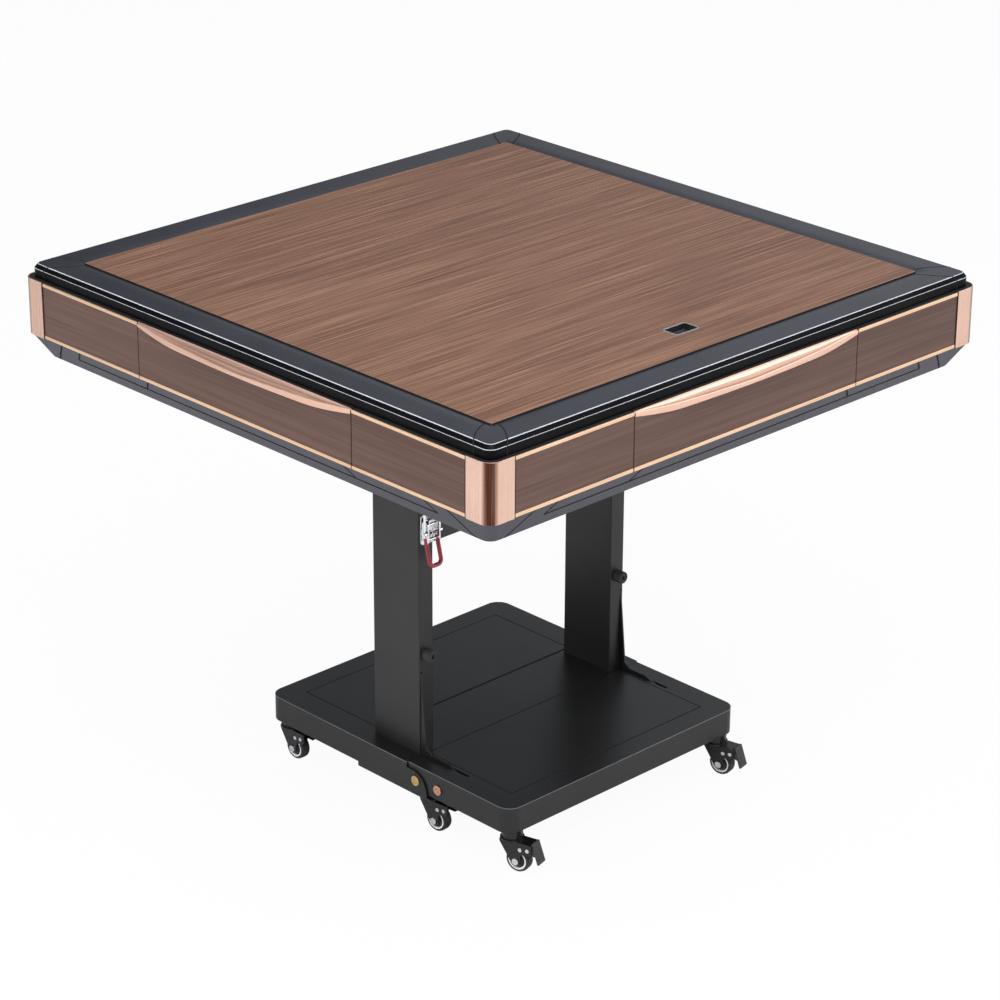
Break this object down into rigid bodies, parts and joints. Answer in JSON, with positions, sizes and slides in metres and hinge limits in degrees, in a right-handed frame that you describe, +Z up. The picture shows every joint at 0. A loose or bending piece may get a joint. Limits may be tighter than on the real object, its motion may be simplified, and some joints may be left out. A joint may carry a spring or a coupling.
{
  "type": "folding automatic game table",
  "caption": "Square automatic tile game table with a lift-off wooden cover, four drawers and a tilting head on two columns over a folding wheeled base.",
  "frame": {"origin": "floor, under the middle of the square head and midway between the columns", "axes": "+Z up; +X to the right along the fold and tilt axes; -Y towards the side whose base half folds up"},
  "size_m": [0.9466, 0.9466, 0.763],
  "materials": {
    "base_black": "satin black powder coat",
    "column_black": "satin black powder coat",
    "brass_bolt": "satin brass",
    "copper_bolt": "satin copper-coloured",
    "bumper_rubber": "matte black",
    "caster_black": "semi-gloss black",
    "caster_tyre": "matte black with a light ring",
    "pedal_plastic": "matte black",
    "frame_steel": "satin dark grey",
    "shell_plastic": "speckled dark grey",
    "side_wood": "satin brown wood look",
    "gold_trim": "satin gold",
    "rose_metal": "satin rose gold",
    "rim_black": "matte black",
    "play_board": "green cloth on board",
    "tub_grey": "matte dark grey",
    "latch_chrome": "polished",
    "runner_white": "matte off-white",
    "centre_gloss": "gloss black",
    "dome_clear": "clear",
    "motor_metal": "cast",
    "bowl_plastic": "matte grey",
    "board_green": "green circuit board",
    "pulley_metal": "turned",
    "belt_rubber": "matte",
    "lift_plastic": "green cloth on plastic",
    "drawer_wood": "brown wood look with a rose-gold pull",
    "cover_charcoal": "satin charcoal",
    "top_wood": "satin walnut",
    "cup_metal": "brushed rim, dark well"
  },
  "bodies": {
    "stand": {"rear_frame": "base_black", "rear_decks": "base_black", "cross_channel": "base_black", "hinge_pins": "brass_bolt", "columns": "column_black", "cross_beam": "column_black", "gusset_plates": "base_black", "bumpers": "bumper_rubber", "caster_cups_rear": "caster_black"},
    "base_front": {"front_frame": "base_black", "front_deck": "base_black", "hinge_arms": "base_black", "bracket_pins": "copper_bolt", "caster_cups_front": "caster_black"},
    "head": {"head_frame": "frame_steel", "lower_shell": "shell_plastic", "shell_corners": "shell_plastic", "side_panels": "side_wood", "panel_trims": "gold_trim", "corner_caps": "rose_metal", "table_rim": "rim_black", "play_board": "play_board", "machine_tub": "tub_grey", "swing_frame": "column_black", "latch_base": "latch_chrome", "drawer_runners": "runner_white", "centre_unit": "centre_gloss", "dome": "dome_clear", "drive_motor": "motor_metal", "mixing_bowl": "bowl_plastic", "control_board": "board_green", "drive_belt": "belt_rubber"},
    "cover": {"cover_rails": "cover_charcoal", "cover_corners": "cover_charcoal", "cover_panel": "top_wood", "pull_cup": "cup_metal"},
    "tile_lifts": {"tile_lifts": "lift_plastic"},
    "turntable": {"turntable": "bowl_plastic"},
    "motor_pulley": {"motor_pulley": "pulley_metal"},
    "drawer_front": {"drawer_front": "drawer_wood"},
    "drawer_right": {"drawer_right": "drawer_wood"},
    "drawer_back": {"drawer_back": "drawer_wood"},
    "drawer_left": {"drawer_left": "drawer_wood"},
    "fork_rear_left": {"caster_fork_rear_left": "caster_black"},
    "wheel_rear_left": {"caster_wheel_rear_left": "caster_tyre"},
    "fork_rear_right": {"caster_fork_rear_right": "caster_black"},
    "wheel_rear_right": {"caster_wheel_rear_right": "caster_tyre"},
    "fork_middle_left": {"caster_fork_middle_left": "caster_black"},
    "wheel_middle_left": {"caster_wheel_middle_left": "caster_tyre"},
    "fork_middle_right": {"caster_fork_middle_right": "caster_black"},
    "wheel_middle_right": {"caster_wheel_middle_right": "caster_tyre"},
    "fork_front_left": {"caster_fork_front_left": "caster_black"},
    "wheel_front_left": {"caster_wheel_front_left": "caster_tyre"},
    "pedal_left": {"brake_pedal_left": "pedal_plastic"},
    "fork_front_right": {"caster_fork_front_right": "caster_black"},
    "wheel_front_right": {"caster_wheel_front_right": "caster_tyre"},
    "pedal_right": {"brake_pedal_right": "pedal_plastic"},
    "latch_lever": {"latch_lever": "latch_chrome"},
    "latch_bail": {"latch_bail": "latch_chrome"}
  },
  "joints": [
    {"name": "base_fold", "type": "hinge", "parent": "stand", "child": "base_front", "pos_m": [0, -0.0765, 0.0801], "axis": [-1, 0, 0], "range_deg": [0, 82]},
    {"name": "head_tilt", "type": "hinge", "parent": "stand", "child": "head", "pos_m": [0, 0.02, 0.5991], "axis": [1, 0, 0], "range_deg": [-90, 0]},
    {"name": "cover_lift", "type": "slide", "parent": "head", "child": "cover", "axis": [0, 0, 1], "range_m": [0, 0.06]},
    {"name": "wall_lift", "type": "slide", "parent": "head", "child": "tile_lifts", "axis": [0, 0, 1], "range_m": [0, 0.026]},
    {"name": "turntable_spin", "type": "hinge", "parent": "head", "child": "turntable", "pos_m": [0, 0, 0.655], "axis": [0, 0, 1], "continuous": true},
    {"name": "motor_spin", "type": "hinge", "parent": "head", "child": "motor_pulley", "pos_m": [-0.105, 0, 0.643], "axis": [0, 0, 1], "continuous": true},
    {"name": "drawer_slide_front", "type": "slide", "parent": "head", "child": "drawer_front", "axis": [0, -1, 0], "range_m": [0, 0.1]},
    {"name": "drawer_slide_right", "type": "slide", "parent": "head", "child": "drawer_right", "axis": [1, 0, 0], "range_m": [0, 0.1]},
    {"name": "drawer_slide_back", "type": "slide", "parent": "head", "child": "drawer_back", "axis": [0, 1, 0], "range_m": [0, 0.1]},
    {"name": "drawer_slide_left", "type": "slide", "parent": "head", "child": "drawer_left", "axis": [-1, 0, 0], "range_m": [0, 0.1]},
    {"name": "swivel_rear_left", "type": "hinge", "parent": "stand", "child": "fork_rear_left", "pos_m": [-0.206, 0.218, 0.053], "axis": [0, 0, 1], "continuous": true},
    {"name": "roll_rear_left", "type": "hinge", "parent": "fork_rear_left", "child": "wheel_rear_left", "pos_m": [-0.206, 0.206, 0.018], "axis": [1, 0, 0], "continuous": true},
    {"name": "swivel_rear_right", "type": "hinge", "parent": "stand", "child": "fork_rear_right", "pos_m": [0.206, 0.218, 0.053], "axis": [0, 0, 1], "continuous": true},
    {"name": "roll_rear_right", "type": "hinge", "parent": "fork_rear_right", "child": "wheel_rear_right", "pos_m": [0.206, 0.206, 0.018], "axis": [1, 0, 0], "continuous": true},
    {"name": "swivel_middle_left", "type": "hinge", "parent": "stand", "child": "fork_middle_left", "pos_m": [-0.206, -0.083, 0.053], "axis": [0, 0, 1], "continuous": true},
    {"name": "roll_middle_left", "type": "hinge", "parent": "fork_middle_left", "child": "wheel_middle_left", "pos_m": [-0.20495, -0.09495, 0.018], "axis": [0.9962, 0.0872, 0], "continuous": true},
    {"name": "swivel_middle_right", "type": "hinge", "parent": "stand", "child": "fork_middle_right", "pos_m": [0.206, -0.083, 0.053], "axis": [0, 0, 1], "continuous": true},
    {"name": "roll_middle_right", "type": "hinge", "parent": "fork_middle_right", "child": "wheel_middle_right", "pos_m": [0.20705, -0.09495, 0.018], "axis": [0.9962, 0.0872, 0], "continuous": true},
    {"name": "swivel_front_left", "type": "hinge", "parent": "base_front", "child": "fork_front_left", "pos_m": [-0.206, -0.243, 0.053], "axis": [0, 0, 1], "continuous": true},
    {"name": "roll_front_left", "type": "hinge", "parent": "fork_front_left", "child": "wheel_front_left", "pos_m": [-0.20289, -0.25459, 0.018], "axis": [0.9659, 0.2588, 0], "continuous": true},
    {"name": "brake_left", "type": "hinge", "parent": "fork_front_left", "child": "pedal_left", "pos_m": [-0.19811, -0.27246, 0.0395], "axis": [0.9659, 0.2588, 0], "range_deg": [0, 8]},
    {"name": "swivel_front_right", "type": "hinge", "parent": "base_front", "child": "fork_front_right", "pos_m": [0.206, -0.243, 0.053], "axis": [0, 0, 1], "continuous": true},
    {"name": "roll_front_right", "type": "hinge", "parent": "fork_front_right", "child": "wheel_front_right", "pos_m": [0.20849, -0.25474, 0.018], "axis": [0.9781, 0.2079, 0], "continuous": true},
    {"name": "brake_right", "type": "hinge", "parent": "fork_front_right", "child": "pedal_right", "pos_m": [0.21234, -0.27283, 0.0395], "axis": [0.9781, 0.2079, 0], "range_deg": [0, 8]},
    {"name": "latch", "type": "hinge", "parent": "head", "child": "latch_lever", "pos_m": [-0.1897, -0.064, 0.455], "axis": [-1, 0, 0], "range_deg": [0, 100]},
    {"name": "bail_turn", "type": "hinge", "parent": "latch_lever", "child": "latch_bail", "pos_m": [-0.1897, -0.066, 0.444], "axis": [-1, 0, 0], "range_deg": [-105, 5]}
  ],
  "couplings": [
    {"joint": "motor_spin", "follows": "turntable_spin", "ratio": 4},
    {"joint": "bail_turn", "follows": "latch", "ratio": -1}
  ]
}
